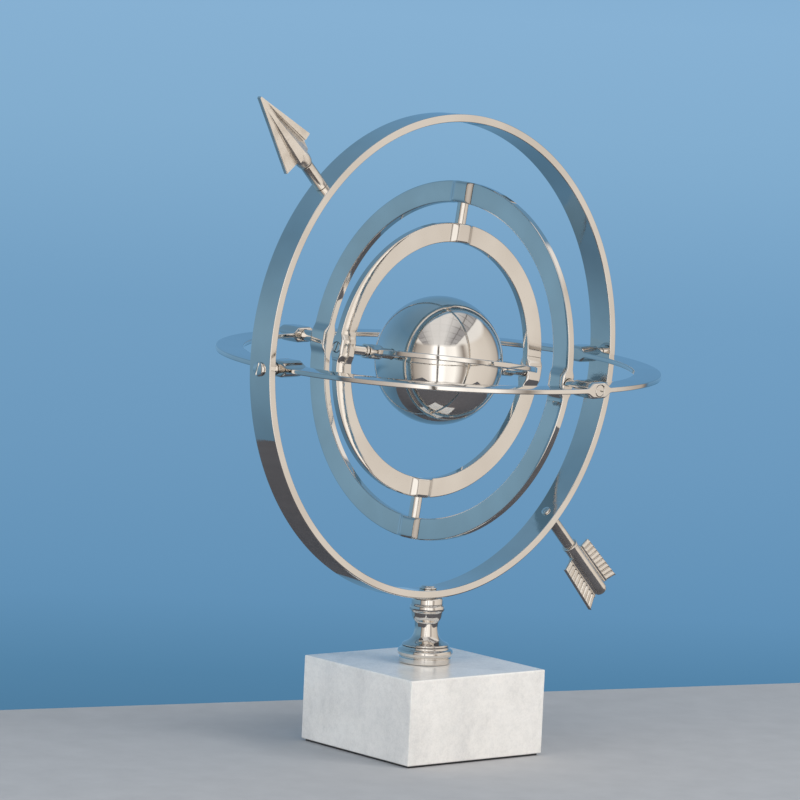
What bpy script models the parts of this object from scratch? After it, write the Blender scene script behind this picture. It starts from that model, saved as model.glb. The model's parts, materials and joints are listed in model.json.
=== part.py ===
"""Armillary sphere on a marble block.

A fixed hoop stands on a turned stem. Four flat rings hang one inside another in the hoop,
each on a pair of round pivot pins, and a hollow sphere turns on the innermost pair. An arrow
runs through the hoop's centre line: its head and its feathered tail stand outside the hoop.
Metres, +Z up, origin at the centre of the underside. The hoop lies in the XZ plane.
"""

import math

import bmesh
import bpy
from mathutils import Matrix, Vector

# ---- base ----
BASE_SIDE = 0.152
BASE_HEIGHT = 0.075
BASE_EDGE = 0.0012
BASE_TURN = math.radians(-5.5)
PAD_THICKNESS = 0.002
PAD_INSET = 0.003
GAP = 0.0003
OVERSHOOT = 0.010
BROKEN_EDGE = 0.0004
HOLE_SPARE = 0.001
COUNTERBORE_RADIUS = 0.015
COUNTERBORE_DEPTH = 0.016
BOLT_RADIUS = 0.004
BOLT_HOLE_RADIUS = 0.0045
BOLT_HEAD_HEIGHT = 0.0053
BOLT_HEAD_ACROSS = 0.013
BOLT_TOP = 0.0985
WASHER_RADIUS = 0.012
WASHER_THICKNESS = 0.0016
BASE_TOP = PAD_THICKNESS + BASE_HEIGHT

# ---- hoop ----
HOOP_RADIUS = 0.214
HOOP_THICKNESS = 0.007
HOOP_WIDTH = 0.0256
HOOP_EDGE = 0.0006
HOOP_CENTRE = 0.350
HOOP_STEPS = 96
HOOP_INNER = HOOP_RADIUS - HOOP_THICKNESS
HOOP_BOLT_RADIUS = 0.003
HOOP_BOLT_HEAD_RADIUS = 0.0078
HOOP_BOLT_HEAD_HEIGHT = 0.0027
HOOP_BOLT_BOTTOM = 0.118

# ---- rings: outer radius, inner radius, thickness, boss thickness, half length of a boss ----
PIVOT_CENTRE = 0.3464
RING_1 = (0.1967, 0.1725, 0.0044, 0.0142, 0.0230)
RING_2 = (0.1591, 0.1400, 0.0070, 0.0142, 0.0220)
RING_3 = (0.1221, 0.1049, 0.0070, 0.0142, 0.0210)
RING_4 = (0.0875, 0.0737, 0.0048, 0.0126, 0.0170)
BOSS_STEPS = 10

# ---- how far each ring is turned on its pins where it stands ----
TURN_1 = math.radians(1.9)
TURN_2 = math.radians(7.1)
TURN_3 = math.radians(-2.3)
TURN_4 = math.radians(-4.5)

# ---- pivot pins ----
PIN_RADIUS = 0.005
AXLE_RADIUS = 0.0045
PIN_DEPTH = 0.0120
HOOP_PIN_HOLE_DEPTH = 0.0100
SCREW_HEAD_RADIUS = 0.0063
SCREW_HEAD_HEIGHT = 0.0028
SCREW_SHANK_RADIUS = 0.003
SCREW_SHANK_LENGTH = 0.0090
SLOT_WIDTH = 0.0012
SLOT_DEPTH = 0.0010
SLOT_REACH = 0.008
COLLAR_RADIUS = 0.0062
COLLAR_LENGTH = 0.0015
COLLAR_CLEARANCE = 0.0006
SEAT_GAP = 0.0004

# ---- sphere ----
SPHERE_RADIUS = 0.057
SPHERE_WALL = 0.0015
AXLE_TUBE_RADIUS = 0.0075
AXLE_TIP = 0.046

# ---- arrow, by distance from the hoop's centre ----
ARROW_ANGLE = math.radians(135.0)
ARROW_SHAFT_RADIUS = 0.0056
ARROW_SOCKET = 0.2400
SOCKET_RADIUS = 0.0066
ARROW_TIP = 0.3215
BLADE_THICKNESS = 0.0040
LONG_BARB = ((0.3213, 0.0009), (0.2520, 0.0218), (0.2500, 0.0090))
SHORT_BARB = ((0.2500, -0.0090), (0.2575, -0.0128), (0.2585, -0.0197), (0.3213, -0.0009))
SPINE_PROFILE = ((0.3000, 0.0022), (0.2510, 0.0068), (0.2480, 0.0074))
TAIL_SHAFT_RADIUS = 0.0057
TAIL_START = 0.2530
TAIL_END = 0.3195
TAIL_RADIUS = 0.0069
TAIL_RIM_RADIUS = 0.0075
VANE_THICKNESS = 0.0040
VANE_OUTLINE = ((0.2650, 0.0071), (0.2670, 0.0190), (0.3200, 0.0215), (0.3128, 0.0071))
ARROW_SCREW_HEAD_RADIUS = 0.0042
ARROW_SCREW_HEAD_HEIGHT = 0.0020
ARROW_SCREW_RADIUS = 0.0025
ARROW_SCREW_REACH = 0.2280

# ---- stem: height above the block's top, radius ----
FOOT_PROFILE = (
    (GAP, 0.0226), (0.0008, 0.0231), (0.0048, 0.0231), (0.0055, 0.0224), (0.0062, 0.0224),
    (0.0070, 0.0236), (0.0084, 0.0245), (0.0098, 0.0247), (0.0112, 0.0243), (0.0126, 0.0231),
    (0.0133, 0.0218), (0.0152, 0.0215),
)
COLUMN_PROFILE = (
    (0.0155, 0.0211), (0.0180, 0.0211), (0.0192, 0.0206), (0.0214, 0.0176), (0.0238, 0.0147),
    (0.0266, 0.0120), (0.0300, 0.0101), (0.0335, 0.0094), (0.0370, 0.0096), (0.0405, 0.0109),
    (0.0438, 0.0129), (0.0462, 0.0140), (0.0468, 0.0151), (0.0482, 0.0156), (0.0500, 0.0156),
    (0.0516, 0.0151), (0.0524, 0.0140), (0.0530, 0.0141), (0.0566, 0.0141), (0.0572, 0.0135),
    (0.0586, 0.0132),
)
ROUND_STEPS = 30
PIN_STEPS = 16

for old in list(bpy.data.objects):
    bpy.data.objects.remove(old, do_unlink=True)


def material(name, colour, metallic, roughness):
    made = bpy.data.materials.new(name)
    made.use_nodes = True
    shader = made.node_tree.nodes["Principled BSDF"]
    shader.inputs["Base Color"].default_value = (*colour, 1.0)
    shader.inputs["Metallic"].default_value = metallic
    shader.inputs["Roughness"].default_value = roughness
    return made


NICKEL = ((0.80, 0.76, 0.71), 1.0, 0.07)
CAST_NICKEL = ((0.66, 0.61, 0.55), 1.0, 0.30)
STEEL = ((0.55, 0.55, 0.56), 1.0, 0.35)
MARBLE = ((0.86, 0.85, 0.83), 0.0, 0.18)
FELT = ((0.03, 0.03, 0.035), 0.0, 0.95)


def finish(name, verts, faces, look, parent=None, smooth=True):
    """One closed, outward-facing mesh object with its own material."""
    mesh = bpy.data.meshes.new(name)
    mesh.from_pydata([tuple(vert) for vert in verts], [], faces)
    return furnish(name, mesh, look, parent, smooth)


def furnish(name, mesh, look, parent=None, smooth=True):
    """Give a closed mesh outward faces, a material, shading and an object."""
    work = bmesh.new()
    work.from_mesh(mesh)
    bmesh.ops.recalc_face_normals(work, faces=work.faces)
    work.to_mesh(mesh)
    work.free()
    mesh.materials.append(material(name + "_finish", *look))
    if smooth:
        mesh.shade_smooth()
        mesh.set_sharp_from_angle(angle=math.radians(32))
    made = bpy.data.objects.new(name, mesh)
    bpy.context.scene.collection.objects.link(made)
    made.parent = parent
    return made


def lathe(name, profile, along, steps):
    """Spin a closed outline of (distance, radius) pairs about a line through the origin."""
    along = Vector(along).normalized()
    across = along.orthogonal().normalized()
    work = bmesh.new()
    points = [work.verts.new(along * distance + across * radius) for distance, radius in profile]
    loop = [work.edges.new(pair) for pair in zip(points, points[1:])]
    if min(profile[0][1], profile[-1][1]) > 0.0:
        loop.append(work.edges.new((points[-1], points[0])))
    bmesh.ops.spin(
        work, geom=points + loop, cent=(0, 0, 0), axis=along,
        angle=2.0 * math.pi, steps=steps, use_merge=True,
    )
    bmesh.ops.remove_doubles(work, verts=work.verts, dist=1e-6)
    mesh = bpy.data.meshes.new(name)
    work.to_mesh(mesh)
    work.free()
    return mesh


def turned(name, profile, look, along=(0, 0, 1), parent=None, steps=ROUND_STEPS, offset=(0, 0, 0)):
    made = furnish(name, lathe(name, profile, along, steps), look, parent)
    made.location = offset
    return made


def helper(made, offset):
    """Make an object a hidden shape for a Boolean."""
    made.location = offset
    made.hide_render = True
    made.display_type = "WIRE"
    return made


def combine(target, tool, operation="DIFFERENCE"):
    change = target.modifiers.new(tool.name, "BOOLEAN")
    change.operation = operation
    change.solver = "EXACT"
    change.object = tool


def bore(target, name, along, start, end, radius, parent=None, offset=(0, 0, 0)):
    """A round hole in target from start to end along a line."""
    profile = ((start, 0.0), (start, radius), (end, radius), (end, 0.0))
    combine(target, helper(turned(name, profile, STEEL, along, parent, PIN_STEPS), offset))


def box(low, high):
    across, deep, tall = zip(low, high)
    corners = [(x, y, z) for x in across for y in deep for z in tall]
    faces = [(0, 1, 3, 2), (4, 6, 7, 5), (0, 4, 5, 1), (2, 3, 7, 6), (0, 2, 6, 4), (1, 5, 7, 3)]
    return corners, faces


def slot(target, name, along, end, parent=None, offset=(0, 0, 0)):
    """A screwdriver slot across the end face of a round pin."""
    along = Vector(along).normalized()
    side = along.orthogonal().normalized()
    up = along.cross(side)
    frame = Matrix((side, up, along)).transposed()
    low = (-SLOT_WIDTH / 2, -SLOT_REACH, end - SLOT_DEPTH)
    high = (SLOT_WIDTH / 2, SLOT_REACH, end + OVERSHOOT)
    corners, faces = box(low, high)
    verts = [frame @ Vector(corner) for corner in corners]
    combine(target, helper(finish(name, verts, faces, STEEL, parent, smooth=False), offset))


def plate(outline, thickness, along, across):
    """A flat plate of an outline of (distance, side) pairs, centred on the hoop's plane."""
    along = Vector(along)
    across = Vector(across)
    count = len(outline)
    verts = []
    for half in (-thickness / 2, thickness / 2):
        for distance, side in outline:
            verts.append(along * distance + across * side + Vector((0, half, 0)))
    faces = [list(range(count)), list(range(2 * count - 1, count - 1, -1))]
    for step in range(count):
        following = (step + 1) % count
        faces.append((step, step + count, following + count, following))
    return verts, faces


def empty(name, location, rotation, parent=None):
    made = bpy.data.objects.new(name, None)
    made.location = location
    made.rotation_euler = rotation
    made.parent = parent
    bpy.context.scene.collection.objects.link(made)
    return made


def boss_height(side, thickness, boss, half_length):
    """Half the ring's thickness at a distance to one side of a boss's middle."""
    share = min(abs(side) / half_length, 1.0)
    swell = math.cos(share * math.pi / 2) ** 2
    return thickness / 2 + (boss - thickness) / 2 * swell


def ring(name, sizes, axis, bosses, parent, plain_steps):
    """A flat ring about axis with bosses at whole quarter turns, each swelling its faces."""
    outer, inner, thickness, boss, half_length = sizes
    stations = []
    quarter = math.pi / 2
    for number in range(4):
        middle = number * quarter
        if number in bosses:
            for step in range(BOSS_STEPS):
                side = half_length * (2.0 * step / BOSS_STEPS - 1.0)
                angles = (middle + math.asin(side / outer), middle + math.asin(side / inner))
                stations.append((angles, boss_height(side, thickness, boss, half_length)))
        follows = (number + 1) % 4 in bosses
        spans = [math.asin(half_length / radius) for radius in (outer, inner)]
        starts = spans if number in bosses else (0.0, 0.0)
        ends = spans if follows else (0.0, 0.0)
        for step in range(plain_steps):
            part = step / plain_steps
            angles = tuple(
                middle + begin + (quarter - begin - end) * part for begin, end in zip(starts, ends)
            )
            stations.append((angles, thickness / 2))
    first = Vector((0, 1, 0)) if abs(axis[0]) > 0.5 else Vector((1, 0, 0))
    normal = Vector(axis)
    second = normal.cross(first)
    verts = []
    for (outer_angle, inner_angle), height in stations:
        for radius, angle, lift in (
            (outer, outer_angle, -height), (outer, outer_angle, height),
            (inner, inner_angle, height), (inner, inner_angle, -height),
        ):
            spot = first * math.cos(angle) + second * math.sin(angle)
            verts.append(spot * radius + normal * lift)
    faces = []
    count = len(stations)
    for step in range(count):
        here = 4 * step
        after = 4 * ((step + 1) % count)
        for corner in range(4):
            beside = (corner + 1) % 4
            faces.append((here + corner, here + beside, after + beside, after + corner))
    return finish(name, verts, faces, NICKEL, parent)


def capped_rod(radius, start, end):
    """Outline of a round rod between two distances, its ends slightly broken."""
    return (
        (start, 0.0), (start, radius - BROKEN_EDGE), (start + BROKEN_EDGE, radius),
        (end - BROKEN_EDGE, radius), (end, radius - BROKEN_EDGE), (end, 0.0),
    )


def domed_screw(radius, height, seat, shank_radius, reach):
    """Outline of a screw: a low dome from seat outwards, and a shank that ends at reach."""
    sign = 1.0 if seat > reach else -1.0
    return (
        (reach, 0.0), (reach, shank_radius), (seat, shank_radius), (seat, radius),
        (seat + sign * height * 0.30, radius), (seat + sign * height * 0.72, radius * 0.80),
        (seat + sign * height * 0.95, radius * 0.42), (seat + sign * height, 0.0),
    )


# ---- base: felt pad, marble block, bolt and washer in the counterbore ----
pad_half = BASE_SIDE / 2 - PAD_INSET
pad_verts, pad_faces = box((-pad_half, -pad_half, 0.0), (pad_half, pad_half, PAD_THICKNESS - GAP))
base_pad = finish("base_pad", pad_verts, pad_faces, FELT, smooth=False)
base_pad.rotation_euler = (0, 0, BASE_TURN)

half = BASE_SIDE / 2
block_verts, block_faces = box((-half, -half, PAD_THICKNESS), (half, half, BASE_TOP))
base_block = finish("base_block", block_verts, block_faces, MARBLE, smooth=False)
base_block.rotation_euler = (0, 0, BASE_TURN)
edge = base_block.modifiers.new("edges", "BEVEL")
edge.width = BASE_EDGE
edge.segments = 2
bore(base_block, "cut_bolt_hole", (0, 0, 1), -OVERSHOOT, BASE_TOP + OVERSHOOT, BOLT_HOLE_RADIUS)
counterbore_top = PAD_THICKNESS + COUNTERBORE_DEPTH
bore(base_block, "cut_counterbore", (0, 0, 1), -OVERSHOOT, counterbore_top, COUNTERBORE_RADIUS)

washer_top = counterbore_top - GAP
washer_bottom = washer_top - WASHER_THICKNESS
turned(
    "base_washer",
    (
        (washer_bottom, BOLT_HOLE_RADIUS), (washer_bottom, WASHER_RADIUS),
        (washer_top, WASHER_RADIUS), (washer_top, BOLT_HOLE_RADIUS),
    ),
    STEEL, steps=PIN_STEPS,
)
head_top = washer_bottom - GAP
head_bottom = head_top - BOLT_HEAD_HEIGHT
head_radius = BOLT_HEAD_ACROSS / math.sqrt(3)
base_bolt = turned(
    "base_bolt",
    ((head_bottom, 0.0), (head_bottom, head_radius), (head_top, head_radius), (head_top, 0.0)),
    STEEL, steps=6,
)
shank_outline = capped_rod(BOLT_RADIUS, head_top - BOLT_HEAD_HEIGHT / 2, BOLT_TOP)
shank = turned("join_bolt_shank", shank_outline, STEEL, steps=PIN_STEPS)
combine(base_bolt, helper(shank, (0, 0, 0)), "UNION")

# ---- stem: foot and column, both drilled ----
foot = [(BASE_TOP + height, radius) for height, radius in FOOT_PROFILE]
turned(
    "stem_foot",
    [(foot[0][0], BOLT_HOLE_RADIUS)] + foot + [(foot[-1][0], BOLT_HOLE_RADIUS)],
    NICKEL,
)
column = [(BASE_TOP + height, radius) for height, radius in COLUMN_PROFILE]
hoop_bolt_hole = HOOP_BOLT_RADIUS + GAP
lower_hole_end = BOLT_TOP + HOLE_SPARE
upper_hole_end = HOOP_BOLT_BOTTOM - HOLE_SPARE
turned(
    "stem_column",
    [(lower_hole_end, 0.0), (lower_hole_end, BOLT_HOLE_RADIUS), (column[0][0], BOLT_HOLE_RADIUS)]
    + column
    + [(column[-1][0], hoop_bolt_hole), (upper_hole_end, hoop_bolt_hole), (upper_hole_end, 0.0)],
    NICKEL,
)

# ---- hoop, fixed on the stem ----
hoop_centre = (0, 0, HOOP_CENTRE)
side_reach = HOOP_WIDTH / 2
hoop = turned(
    "hoop",
    (
        (-side_reach, HOOP_INNER + HOOP_EDGE), (-side_reach, HOOP_RADIUS - HOOP_EDGE),
        (-side_reach + HOOP_EDGE, HOOP_RADIUS), (side_reach - HOOP_EDGE, HOOP_RADIUS),
        (side_reach, HOOP_RADIUS - HOOP_EDGE), (side_reach, HOOP_INNER + HOOP_EDGE),
        (side_reach - HOOP_EDGE, HOOP_INNER), (-side_reach + HOOP_EDGE, HOOP_INNER),
    ),
    NICKEL, along=(0, 1, 0), steps=HOOP_STEPS, offset=hoop_centre,
)
drill_from = HOOP_INNER - OVERSHOOT
drill_to = HOOP_RADIUS + OVERSHOOT
bore(hoop, "cut_hoop_bolt", (0, 0, -1), drill_from, drill_to, hoop_bolt_hole, None, hoop_centre)
turned(
    "hoop_bolt",
    domed_screw(
        HOOP_BOLT_HEAD_RADIUS, HOOP_BOLT_HEAD_HEIGHT, HOOP_CENTRE - HOOP_INNER + SEAT_GAP,
        HOOP_BOLT_RADIUS, HOOP_BOLT_BOTTOM,
    ),
    NICKEL, steps=PIN_STEPS,
)

# ---- arrow: head and tail on one line through the hoop's centre ----
head_way = Vector((math.cos(ARROW_ANGLE), 0, math.sin(ARROW_ANGLE)))
tail_way = -head_way
arrow_side = Vector((-head_way.z, 0, head_way.x))
screw_hole = ARROW_SCREW_RADIUS + GAP
outside = HOOP_RADIUS + SEAT_GAP
screw_seat = HOOP_INNER - SEAT_GAP
hole_end = ARROW_SCREW_REACH + HOLE_SPARE
for label, way, radius, end in (
    ("arrow_shaft", head_way, ARROW_SHAFT_RADIUS, ARROW_SOCKET - GAP),
    ("tail_shaft", tail_way, TAIL_SHAFT_RADIUS, TAIL_START - GAP),
):
    turned(
        label,
        (
            (hole_end, 0.0), (hole_end, screw_hole), (outside, screw_hole),
            (outside, radius), (end, radius), (end, 0.0),
        ),
        CAST_NICKEL, along=way, steps=PIN_STEPS, offset=hoop_centre,
    )
    bore(hoop, "cut_" + label, way, drill_from, drill_to, screw_hole, None, hoop_centre)
    screw = turned(
        label + "_screw",
        domed_screw(
            ARROW_SCREW_HEAD_RADIUS, ARROW_SCREW_HEAD_HEIGHT, screw_seat,
            ARROW_SCREW_RADIUS, ARROW_SCREW_REACH,
        ),
        NICKEL, along=way, steps=PIN_STEPS, offset=hoop_centre,
    )
    head_end = screw_seat - ARROW_SCREW_HEAD_HEIGHT
    slot(screw, "cut_" + label + "_slot", -way, -head_end, None, hoop_centre)

spine = [(ARROW_TIP, 0.0)] + list(SPINE_PROFILE) + [(ARROW_SOCKET, SOCKET_RADIUS), (ARROW_SOCKET, 0.0)]
arrow_head = turned("arrow_head", spine, CAST_NICKEL, along=head_way, steps=16, offset=hoop_centre)
blade_verts, blade_faces = plate(LONG_BARB + SHORT_BARB, BLADE_THICKNESS, head_way, arrow_side)
blade = finish("join_blade", blade_verts, blade_faces, CAST_NICKEL, smooth=False)
combine(arrow_head, helper(blade, hoop_centre), "UNION")

TAIL_PROFILE = (
    (TAIL_START, 0.0), (TAIL_START, TAIL_RIM_RADIUS), (TAIL_START + 0.0022, TAIL_RIM_RADIUS),
    (TAIL_START + 0.0026, TAIL_RADIUS), (TAIL_END - 0.0065, TAIL_RADIUS),
    (TAIL_END - 0.0030, TAIL_RADIUS * 0.88), (TAIL_END - 0.0008, TAIL_RADIUS * 0.55), (TAIL_END, 0.0),
)
turned("tail_body", TAIL_PROFILE, CAST_NICKEL, along=tail_way, steps=PIN_STEPS, offset=hoop_centre)
for label, hand in (("tail_vane_lower", 1.0), ("tail_vane_upper", -1.0)):
    vane_verts, vane_faces = plate(VANE_OUTLINE, VANE_THICKNESS, tail_way, arrow_side * hand)
    vane = finish(label, vane_verts, vane_faces, CAST_NICKEL, smooth=False)
    vane.location = hoop_centre

# ---- rings, each on an empty whose axes carry its own pins and the next ring's ----
frame_1 = empty("turn_ring_1", (0, 0, PIVOT_CENTRE), (TURN_1, 0, 0))
frame_2 = empty("turn_ring_2", (0, 0, 0), (0, TURN_2, 0), frame_1)
frame_3 = empty("turn_ring_3", (0, 0, 0), (0, 0, TURN_3), frame_2)
frame_4 = empty("turn_ring_4", (0, 0, 0), (TURN_4, 0, 0), frame_3)
frame_ball = empty("turn_sphere", (0, 0, 0), (TURN_4, 0, 0), frame_3)
every_side = (0, 1, 2, 3)
ring_1 = ring("ring_1_horizon", RING_1, (0, 0, 1), every_side, frame_1, 15)
ring_2 = ring("ring_2_upright", RING_2, (1, 0, 0), every_side, frame_2, 13)
ring_3 = ring("ring_3_upright", RING_3, (0, 1, 0), every_side, frame_3, 11)
ring_4 = ring("ring_4_equator", RING_4, (0, 0, 1), (0, 2), frame_4, 11)

# ---- hoop pins: a plain pin against the hoop, held by a domed screw from outside ----
pin_centre = (0, 0, PIVOT_CENTRE)
pin_end = RING_1[0] - PIN_DEPTH
tapped = SCREW_SHANK_RADIUS + GAP
near_hoop = HOOP_INNER - SEAT_GAP
tapped_end = near_hoop - HOOP_PIN_HOLE_DEPTH
for label, hand in (("left", -1), ("right", 1)):
    way = Vector((hand, 0, 0))
    turned(
        "hoop_pin_" + label,
        (
            (pin_end, 0.0), (pin_end, PIN_RADIUS - BROKEN_EDGE), (pin_end + BROKEN_EDGE, PIN_RADIUS),
            (near_hoop, PIN_RADIUS), (near_hoop, tapped), (tapped_end, tapped), (tapped_end, 0.0),
        ),
        NICKEL, along=way, steps=PIN_STEPS, offset=pin_centre,
    )
    screw = turned(
        "hoop_screw_" + label,
        domed_screw(
            SCREW_HEAD_RADIUS, SCREW_HEAD_HEIGHT, outside,
            SCREW_SHANK_RADIUS, near_hoop - SCREW_SHANK_LENGTH,
        ),
        NICKEL, along=way, steps=PIN_STEPS, offset=pin_centre,
    )
    slot(screw, "cut_hoop_slot_" + label, way, outside + SCREW_HEAD_HEIGHT, None, pin_centre)
    bore(hoop, "cut_hoop_screw_" + label, way, drill_from, drill_to, tapped, None, pin_centre)
    hole_out = RING_1[0] + OVERSHOOT
    bore(ring_1, "cut_ring_1_" + label, way, pin_end - GAP, hole_out, PIN_RADIUS + GAP, frame_1)

# ---- pins from each ring's bosses into the next ring's bosses ----
for label, way, outer_ring, inner_ring, outer_sizes, inner_sizes, outer_frame, inner_frame in (
    ("front", (0, -1, 0), ring_1, ring_2, RING_1, RING_2, frame_1, frame_2),
    ("back", (0, 1, 0), ring_1, ring_2, RING_1, RING_2, frame_1, frame_2),
    ("upper", (0, 0, 1), ring_2, ring_3, RING_2, RING_3, frame_2, frame_3),
    ("lower", (0, 0, -1), ring_2, ring_3, RING_2, RING_3, frame_2, frame_3),
):
    outer_end = outer_sizes[0] - GAP
    inner_end = inner_sizes[0] - PIN_DEPTH
    pin = turned(
        label + "_pin", capped_rod(PIN_RADIUS, inner_end, outer_end), NICKEL,
        along=way, parent=outer_frame, steps=PIN_STEPS,
    )
    slot(pin, "cut_slot_" + label, way, outer_end, outer_frame)
    hole = PIN_RADIUS + GAP
    through = (outer_sizes[1] - OVERSHOOT, outer_sizes[0] + OVERSHOOT)
    bore(outer_ring, "cut_outer_" + label, way, *through, hole, outer_frame)
    blind = (inner_end - GAP, inner_sizes[0] + OVERSHOOT)
    bore(inner_ring, "cut_inner_" + label, way, *blind, hole, inner_frame)

# ---- axle pins: through ring 3 and ring 4 into the sphere's axle tube, a collar on each ----
for label, hand in (("left", -1), ("right", 1)):
    way = (hand, 0, 0)
    outer_end = RING_3[0] - GAP
    axle = turned(
        "axle_pin_" + label, capped_rod(AXLE_RADIUS, AXLE_TIP, outer_end), NICKEL,
        along=way, parent=frame_3, steps=PIN_STEPS,
    )
    slot(axle, "cut_axle_slot_" + label, way, outer_end, frame_3)
    hole = AXLE_RADIUS + GAP
    for number, pierced, sizes, holder in ((3, ring_3, RING_3, frame_3), (4, ring_4, RING_4, frame_4)):
        through = (sizes[1] - OVERSHOOT, sizes[0] + OVERSHOOT)
        bore(pierced, "cut_axle_%d_%s" % (number, label), way, *through, hole, holder)
    for place, start in (
        ("inner", RING_4[1] - COLLAR_CLEARANCE - COLLAR_LENGTH),
        ("outer", RING_4[0] + COLLAR_CLEARANCE),
    ):
        end = start + COLLAR_LENGTH
        turned(
            "axle_collar_" + place + "_" + label,
            ((start, hole), (start, COLLAR_RADIUS), (end, COLLAR_RADIUS), (end, hole)),
            NICKEL, along=way, parent=frame_3, steps=PIN_STEPS,
        )

# ---- sphere: a thin spun shell open at its poles, on an axle tube ----
shell_hole = AXLE_RADIUS + GAP
inner_radius = SPHERE_RADIUS - SPHERE_WALL
shell_profile = []
for radius, steps, backwards in ((SPHERE_RADIUS, 18, False), (inner_radius, 8, True)):
    pole = math.asin(shell_hole / radius)
    arc = [pole + (math.pi - 2 * pole) * step / steps for step in range(steps + 1)]
    if backwards:
        arc.reverse()
    shell_profile += [(radius * math.cos(turn), radius * math.sin(turn)) for turn in arc]
turned("sphere_shell", shell_profile, NICKEL, along=(1, 0, 0), parent=frame_ball, steps=ROUND_STEPS)
tube_end = math.sqrt(inner_radius**2 - AXLE_TUBE_RADIUS**2) - 2 * GAP
turned(
    "sphere_axle_tube",
    (
        (-tube_end, shell_hole), (-tube_end, AXLE_TUBE_RADIUS), (tube_end, AXLE_TUBE_RADIUS),
        (tube_end, shell_hole),
    ),
    STEEL, along=(1, 0, 0), parent=frame_ball, steps=PIN_STEPS,
)
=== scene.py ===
"""Looks of the armillary sphere: fine surfaces, metal and marble, a plain studio and a camera."""

import json
import math
from collections import namedtuple

import bmesh
import bpy
from mathutils import Matrix, Vector


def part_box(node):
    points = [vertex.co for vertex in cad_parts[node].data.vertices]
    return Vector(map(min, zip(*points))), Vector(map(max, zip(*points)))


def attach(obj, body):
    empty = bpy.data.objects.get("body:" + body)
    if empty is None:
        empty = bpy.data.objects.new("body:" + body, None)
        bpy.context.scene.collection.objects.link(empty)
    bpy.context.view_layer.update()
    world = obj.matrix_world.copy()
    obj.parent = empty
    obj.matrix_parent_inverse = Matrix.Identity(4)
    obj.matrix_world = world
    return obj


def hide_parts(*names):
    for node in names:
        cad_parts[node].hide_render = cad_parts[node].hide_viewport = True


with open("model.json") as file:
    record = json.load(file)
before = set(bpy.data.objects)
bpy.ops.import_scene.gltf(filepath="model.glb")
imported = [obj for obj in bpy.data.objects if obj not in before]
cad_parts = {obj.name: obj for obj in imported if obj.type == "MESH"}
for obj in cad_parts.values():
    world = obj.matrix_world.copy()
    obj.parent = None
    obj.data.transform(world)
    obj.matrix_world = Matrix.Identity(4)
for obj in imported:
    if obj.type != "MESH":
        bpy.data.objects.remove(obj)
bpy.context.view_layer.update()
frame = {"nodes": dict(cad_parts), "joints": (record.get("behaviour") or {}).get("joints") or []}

# ---------------------------------------------------------------- sizes that the boxes don't give
# Lengths are in metres. A boss is the thicker place where a pin crosses a ring.

Ring = namedtuple("Ring", "outer inner thickness boss_thickness boss_half_length")
RINGS = {
    "ring_1_horizon": Ring(0.1967, 0.1725, 0.0044, 0.0142, 0.0230),
    "ring_2_upright": Ring(0.1591, 0.1400, 0.0070, 0.0142, 0.0220),
    "ring_3_upright": Ring(0.1221, 0.1049, 0.0070, 0.0142, 0.0210),
    "ring_4_equator": Ring(0.0875, 0.0737, 0.0048, 0.0126, 0.0170),
}
RING_4_TURN = math.radians(-4.5)
RING_EDGE = 0.0010
RING_EDGE_LIMIT = 0.6  # an edge takes at most this share of the ring's half thickness
RING_CROWN = 0.00012
BOSS_EDGE = 0.0018
# Shares of a boss's half length where its flat top ends and where its slope meets the ring.
BOSS_FLAT = 0.26
BOSS_FOOT = 0.65
BOSS_STEPS = 28
PLAIN_STEPS = 30

HOOP_THICKNESS = 0.007
HOOP_EDGE = 0.0011
HOOP_PIN_GAP = 0.0004

PIN_RADIUS = 0.005
PIN_DEPTH = 0.012
PIN_EDGE = 0.0006
AXLE_RADIUS = 0.0045
AXLE_TIP = 0.046
GAP = 0.0003
SEAT_GAP = 0.0002
HOLE_BOTTOM = 0.0005
CUT_MARGIN = 0.01
COUNTERSINK = 0.0006
COLLAR_RADIUS = 0.0062
COLLAR_LENGTH = 0.0015
COLLAR_GAP = 0.0006  # from a collar to ring 4
SMALL_EDGE = 0.0004

Screw = namedtuple("Screw", "radius height shank")
HOOP_SCREW = Screw(0.0063, 0.0030, 0.0028)
HOOP_SCREW_LENGTH = 0.008
ARROW_SCREW = Screw(0.0042, 0.0020, 0.0025)
ARROW_SCREW_REACH = 0.2280
HEAD_EDGE = 0.0003
HEAD_RIM = 0.35  # share of a head's height below its dome

SLOT_WIDTH = 0.0014
SLOT_DEPTH = 0.0013
SLOT_LENGTH = 0.03
SLOT_TURN = 0.5
PIN_SLOT_DEPTH = 0.0026
ARROW_SLOT_WIDTH = 0.0009
ARROW_SLOT_DEPTH = 0.0008

BALL_RADIUS = 0.057
BALL_SHELL = 0.0015

BASE_TURN = math.radians(-5.5)
BASE_SIDE = 0.152
BASE_EDGE = 0.0013

ARROW_ANGLE = math.radians(135)

SHARP_ANGLE = math.radians(50)
CUT_SHARP_ANGLE = math.radians(40)
CORNER_REACH = 0.48  # an arc at a corner takes at most this share of each side

# How many steps a turned piece has round it.
SMALL_STEPS = 48
MIDDLE_STEPS = 64
STEM_STEPS = 96
BALL_STEPS = 128
HOOP_STEPS = 256


# ---------------------------------------------------------------- axes, read from the frame

def joint_row(name):
    return next(joint for joint in frame["joints"] if joint["name"] == name)


def joint_axis(name):
    return Vector(joint_row(name)["axis"]).normalized()


def axes_frame(x, y, z, centre):
    """World matrix whose columns are three perpendicular directions, at centre."""
    made = Matrix((x, y, z)).transposed().to_4x4()
    made.translation = centre
    return made


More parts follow.
